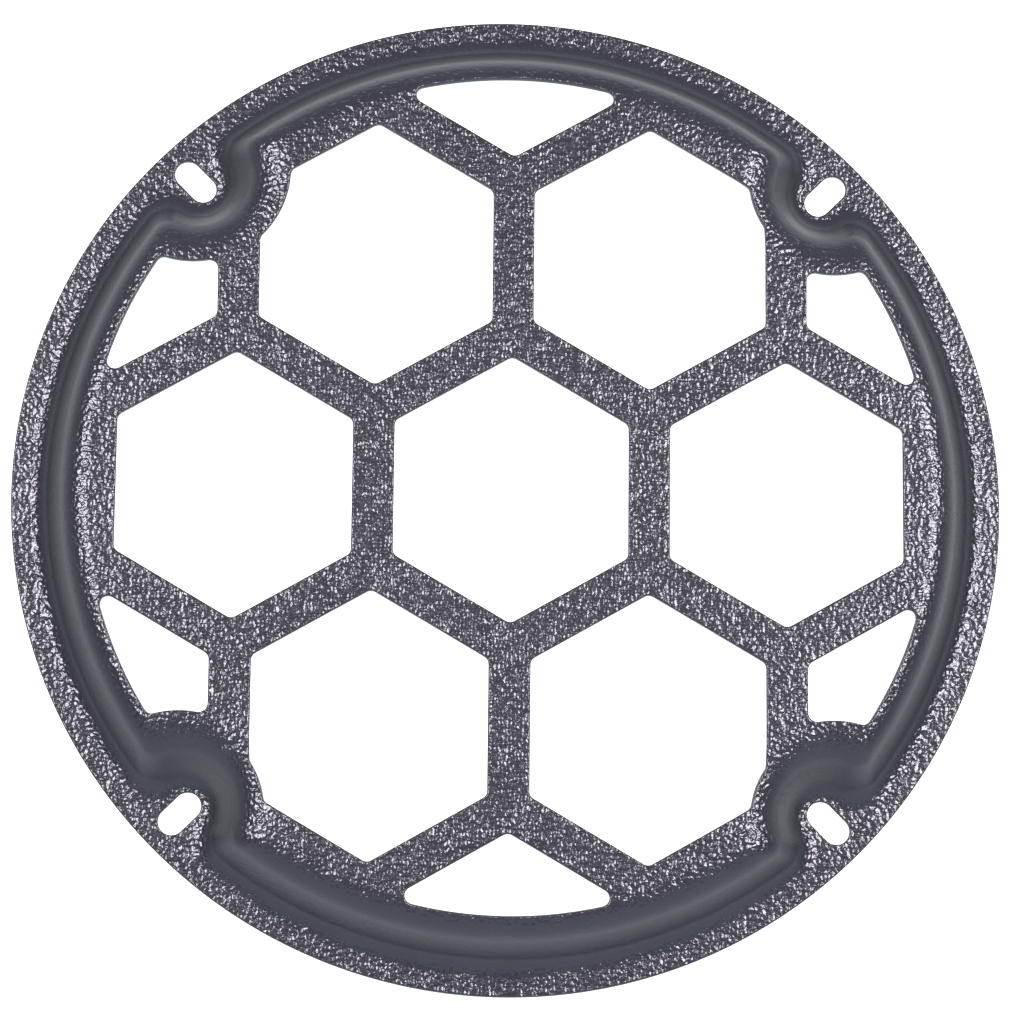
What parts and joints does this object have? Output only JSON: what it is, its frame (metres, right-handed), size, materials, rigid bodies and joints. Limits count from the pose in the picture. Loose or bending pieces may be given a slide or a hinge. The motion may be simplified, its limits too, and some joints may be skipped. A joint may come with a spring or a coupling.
{
  "type": "loudspeaker guard grille",
  "caption": "Round pressed steel loudspeaker guard grille: flat slotted flange, drawn wall and raised face with large hexagonal openings, textured black powder coat.",
  "frame": {"origin": "centre of the flange's rear face", "axes": "+Z out of the raised face, towards the listener; +X along the rows of cells; +Y up the face, at 45 degrees to the screw slots"},
  "size_m": [0.168, 0.168, 0.0104],
  "materials": {
    "powder_coat": "semi-gloss black powder coat with a coarse texture, over steel"
  },
  "bodies": {
    "root": {"grille_pressing": "powder_coat"}
  },
  "joints": []
}
